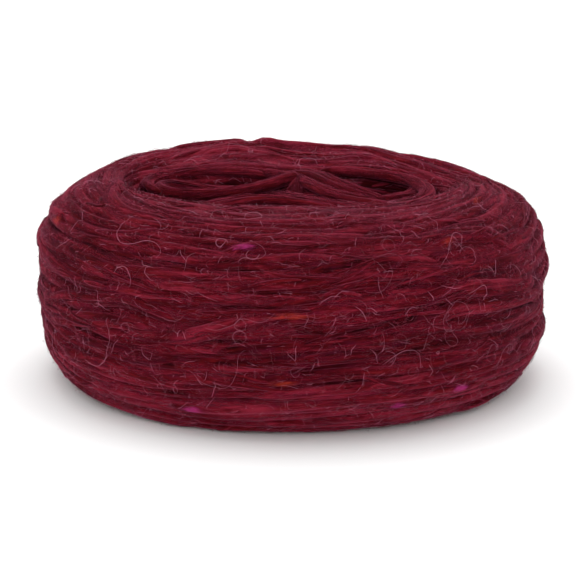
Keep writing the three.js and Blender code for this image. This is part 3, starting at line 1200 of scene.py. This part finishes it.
class WOOL_OT_inner_end(bpy.types.Operator):
    """Makes the loose inner end of the roving, with its torn tip"""

    bl_idname = "wool.inner_end"
    bl_label = "Inner end"

    FLATNESS = 0.92
    SEED = 8100
    LOCKS = 26
    TUFT_LOCKS = 22
    TUFT_FIBRES = 60

    def execute(self, context):
        tubes = Tubes(2 * RING_SIDES)
        path = free_tube(tubes, END_ROUTE, END_THICKNESS / 2, self.FLATNESS, self.SEED, taper=False)
        piece = finish_piece(tubes.object("loose_end"), wool(), LOOSE_END)
        tip = self.torn_tip(np.array(END_ROUTE[-1]), path)
        sleeve = Tubes(RING_SIDES)
        reach = END_THICKNESS / 2 + WOOL_OT_fuzz.SLEEVE
        free_tube(sleeve, END_ROUTE, reach, self.FLATNESS, self.SEED)
        haze = finish_piece(sleeve.object("end_fuzz"), fuzz())
        return {"FINISHED"}

    def torn_tip(self, end, path):
        """The tuft where the roving was pulled apart, and the locks that lie along the end."""
        dice = np.random.default_rng(5)
        tubes = Tubes(FIBRE_SIDES + 2)
        locks(tubes, path[::2], END_THICKNESS / 2, END_THICKNESS / 2, self.LOCKS, self.SEED + 200)
        for k in range(self.TUFT_LOCKS + self.TUFT_FIBRES):
            lock = k < self.TUFT_LOCKS
            aside = dice.normal(0, 1.0)
            start = end + dice.normal(0, 0.7, 3) - np.array([4.0, 3.3, 0.3]) * dice.uniform(0.3, 1)
            reach = dice.uniform(7, 13) if lock else dice.uniform(5, 17)
            drop = dice.uniform(0.18, 0.34)
            line = [
                start,
                end + np.array([0.6, 0.3, 0.5]) + dice.normal(0, 0.5, 3),
                end + np.array([1.0 + 0.7 * aside, -0.3 * reach, -0.5 * drop]) + dice.normal(0, 0.4, 3),
                end + np.array([0.6 + 1.8 * aside, -0.65 * reach, -0.5 * drop * reach]),
                end + np.array([0.2 + 2.4 * aside, -reach, -drop * reach]) + dice.normal(0, 0.7, 3),
            ]
            if not lock:
                curl = dice.uniform(0, TURN) + np.linspace(0, dice.uniform(1, 6), 4)
                ring = np.stack([np.cos(curl), np.sin(curl), 0.2 * np.sin(curl)], -1) * dice.uniform(0.6, 2)
                line += list(line[-1] + ring - ring[0])
            thickness = dice.uniform(0.25, 0.55) if lock else dice.uniform(0.045, 0.075)
            free_tube(tubes, line, thickness, 0.7, self.SEED + 100 + k)
        return finish_piece(tubes.object("torn_tip"), wool())


class WOOL_OT_fibres(bpy.types.Operator):
    """Strews loose fibres over the plate"""

    bl_idname = "wool.fibres"
    bl_label = "Loose fibres"

    # No fibre starts nearer than this to the middle of the underside and of the hollow
    CLEAR_BELOW = 14
    CLEAR_ABOVE = 30

    def execute(self, context):
        sizes = context.scene.wool_sizes
        self.wisps(sizes)
        self.close_fibres(sizes)
        self.nap(sizes)
        self.curled_fibres(sizes)
        return {"FINISHED"}

    def spots(self, dice, count):
        """Random places on the skin, evenly spread over its area."""
        skin = winding().skin
        area = skin.around * skin.along
        area[skin.places < self.CLEAR_BELOW] = 0
        area[skin.places > skin.length - self.CLEAR_ABOVE] = 0
        picked = dice.choice(area.size, count, p=(area / area.sum()).ravel())
        row, column = np.unravel_index(picked, area.shape)
        azimuth = skin.azimuths[column] + dice.uniform(0, TURN / AZIMUTH_CELLS, count)
        return azimuth, skin.places[row] + dice.uniform(0, SKIN_CELL, count)

    def wisps(self, sizes):
        """Thin flat locks that have spread from the strands and cross the gaps."""
        dice = np.random.default_rng(11)
        count, steps = sizes.wisps, 13
        heading = dice.normal(0, 0.09, count) + math.pi * dice.integers(0, 2, count)
        bend = dice.normal(0, 0.5, (count, steps)) + dice.normal(0, 0.15, (count, 1))
        length = dice.uniform(9, 32, count)
        lift = dice.uniform(-0.1, 0.15, count)
        thickness = dice.uniform(0.7, 2.0, count)
        tubes = Tubes(FIBRE_SIDES + 2)
        start = self.spots(dice, count)
        fibre_tubes(tubes, start, heading, length, bend, lift, thickness, 60000, flatness=0.34)
        finish_piece(tubes.object("wisps"), wool(), PLATE)

    def close_fibres(self, sizes):
        """Short fibres along the strands, hardly off them."""
        dice = np.random.default_rng(17)
        count, steps = sizes.close_fibres, 6
        heading = dice.normal(0, 0.28, count) + math.pi * dice.integers(0, 2, count)
        bend = dice.normal(0, 2.2, (count, steps)) + dice.normal(0, 1.0, (count, 1))
        length = dice.uniform(3, 10, count)
        lift = np.abs(dice.normal(0.1, 0.3, count))
        thickness = sizes.fibre_thickness / MM * dice.uniform(0.6, 1.25, count)
        tubes = Tubes(FIBRE_SIDES)
        start = self.spots(dice, count)
        fibre_tubes(tubes, start, heading, length, bend, lift, thickness, 20000)
        finish_piece(tubes.object("close_fibres"), fibre())

    def nap(self, sizes):
        """Very short fibres that stand off the wool all over."""
        dice = np.random.default_rng(23)
        count, steps = sizes.nap_fibres, 3
        heading = dice.uniform(0, TURN, count)
        bend = dice.normal(0, 1.0, (count, steps))
        length = dice.uniform(1.2, 4.2, count)
        lift = dice.uniform(0.2, 1.3, count)
        thickness = sizes.fibre_thickness / MM * dice.uniform(0.7, 1.2, count)
        tubes = Tubes(FIBRE_SIDES, palest=0.15)
        start = self.spots(dice, count)
        fibre_tubes(tubes, start, heading, length, bend, lift, thickness, 80000)
        finish_piece(tubes.object("nap"), fibre())

    def curled_fibres(self, sizes):
        """Long fibres that loop over the strands."""
        dice = np.random.default_rng(29)
        count, steps = sizes.curled_fibres, 36
        heading = dice.uniform(-0.8, 0.8, count) + math.pi * dice.integers(0, 2, count)
        curl = dice.normal(0, 3.6, (count, 1))
        bend = curl + np.cumsum(dice.normal(0, 2.4, (count, steps)), axis=1)
        length = dice.uniform(9, 15, count) * dice.uniform(0.8, 2.6, count)
        lift = np.abs(dice.normal(0.4, 0.5, count))
        thickness = sizes.fibre_thickness / MM * dice.uniform(0.6, 1.15, count)
        tubes = Tubes(FIBRE_SIDES, palest=0.5)
        start = self.spots(dice, count)
        fibre_tubes(tubes, start, heading, length, bend, lift, thickness, 40000)
        azimuth, place, heading, length, turn = np.transpose(CURLS)
        wavy = np.radians(turn)[:, None] + dice.normal(0, 2.0, (len(CURLS), steps))
        lift = dice.uniform(0.3, 1.0, len(CURLS))
        thickness = sizes.fibre_thickness / MM * dice.uniform(0.8, 1.2, len(CURLS))
        start = (np.radians(azimuth), place)
        fibre_tubes(tubes, start, np.radians(heading), length, wavy, lift, thickness, 45000)
        finish_piece(tubes.object("curled_fibres"), fibre())


class WOOL_OT_stage(bpy.types.Operator):
    """Sets the pale floor, the soft light and the camera"""

    bl_idname = "wool.stage"
    bl_label = "Stage"

    SENSOR = 36.0
    AIM = (-0.0003, 0.0, 0.0295)
    FLOOR_HALF_WIDTH = 6.0

    def execute(self, context):
        stage = context.scene.wool_stage
        self.floor(stage)
        self.world(context.scene)
        self.light("key_light", (-0.15, -1.0, 0.35), size=0.7, power=3.0)
        self.light("top_light", (0.0, 0.5, 1.2), size=1.1, power=8.0)
        self.camera(context.scene, stage)
        context.scene.view_settings.view_transform = "Standard"
        return {"FINISHED"}

    def floor(self, stage):
        half = self.FLOOR_HALF_WIDTH
        mesh = bpy.data.meshes.new("floor")
        corners = [(-half, -half, 0), (half, -half, 0), (half, half, 0), (-half, half, 0)]
        mesh.from_pydata(corners, [], [(0, 1, 2, 3)])
        floor = bpy.data.objects.new("floor", mesh)
        bpy.context.scene.collection.objects.link(floor)
        floor.data.materials.append(Recipe("pale_floor").set(Base_Color=stage.floor, Roughness=0.9))

    def world(self, scene):
        world = bpy.data.worlds.new("studio")
        world.use_nodes = True
        backdrop = world.node_tree.nodes["Background"]
        backdrop.inputs["Color"].default_value = (1.0, 1.0, 1.0, 1.0)
        backdrop.inputs["Strength"].default_value = 1.0
        scene.world = world

    def light(self, name, place, size, power):
        lamp = bpy.data.lights.new(name, "AREA")
        lamp.shape = "SQUARE"
        lamp.size = size
        lamp.energy = power
        light = bpy.data.objects.new(name, lamp)
        light.location = place
        light.rotation_euler = (Vector(self.AIM) - Vector(place)).to_track_quat("-Z", "Y").to_euler()
        bpy.context.scene.collection.objects.link(light)

    def camera(self, scene, stage):
        lens = bpy.data.cameras.new("camera")
        lens.sensor_width = self.SENSOR
        lens.lens = self.SENSOR * stage.distance / stage.field
        lens.clip_end = 50.0
        camera = bpy.data.objects.new("camera", lens)
        back = Vector((0.0, -math.cos(stage.elevation), math.sin(stage.elevation)))
        camera.location = Vector(self.AIM) + back * stage.distance
        upright = (-back).to_track_quat("-Z", "Y")
        camera.rotation_mode = "QUATERNION"
        camera.rotation_quaternion = upright @ Quaternion((0.0, 0.0, 1.0), stage.roll)
        scene.collection.objects.link(camera)
        scene.camera = camera


OPERATORS = (
    WOOL_OT_stage,
    WOOL_OT_inner_end,
    WOOL_OT_mat,
    WOOL_OT_laid_strands,
    WOOL_OT_fuzz,
    WOOL_OT_fibres,
)


class WOOL_PT_plate(bpy.types.Panel):
    """Lists the steps and settings of the wool plate"""

    bl_idname = "WOOL_PT_plate"
    bl_label = "Wool plate"
    bl_space_type = "VIEW_3D"
    bl_region_type = "UI"
    bl_category = "Wool"

    def draw(self, context):
        for group in (context.scene.wool_sizes, context.scene.wool_colours, context.scene.wool_stage):
            box = self.layout.box()
            for key in group.__annotations__:
                box.prop(group, key)
        for operator in OPERATORS:
            self.layout.operator(operator.bl_idname)


CLASSES = (WoolSizes, WoolColours, StageSettings, *OPERATORS, WOOL_PT_plate)


def register():
    for each in CLASSES:
        bpy.utils.register_class(each)
    bpy.types.Scene.wool_sizes = bpy.props.PointerProperty(type=WoolSizes)
    bpy.types.Scene.wool_colours = bpy.props.PointerProperty(type=WoolColours)
    bpy.types.Scene.wool_stage = bpy.props.PointerProperty(type=StageSettings)


def unregister():
    del bpy.types.Scene.wool_stage
    del bpy.types.Scene.wool_colours
    del bpy.types.Scene.wool_sizes
    for each in reversed(CLASSES):
        bpy.utils.unregister_class(each)


def main():
    register()
    bpy.ops.wool.stage()
    bpy.ops.wool.inner_end()
    bpy.ops.wool.mat()
    bpy.ops.wool.laid_strands()
    bpy.ops.wool.fuzz()
    bpy.ops.wool.fibres()


if __name__ == "__main__":
    main()
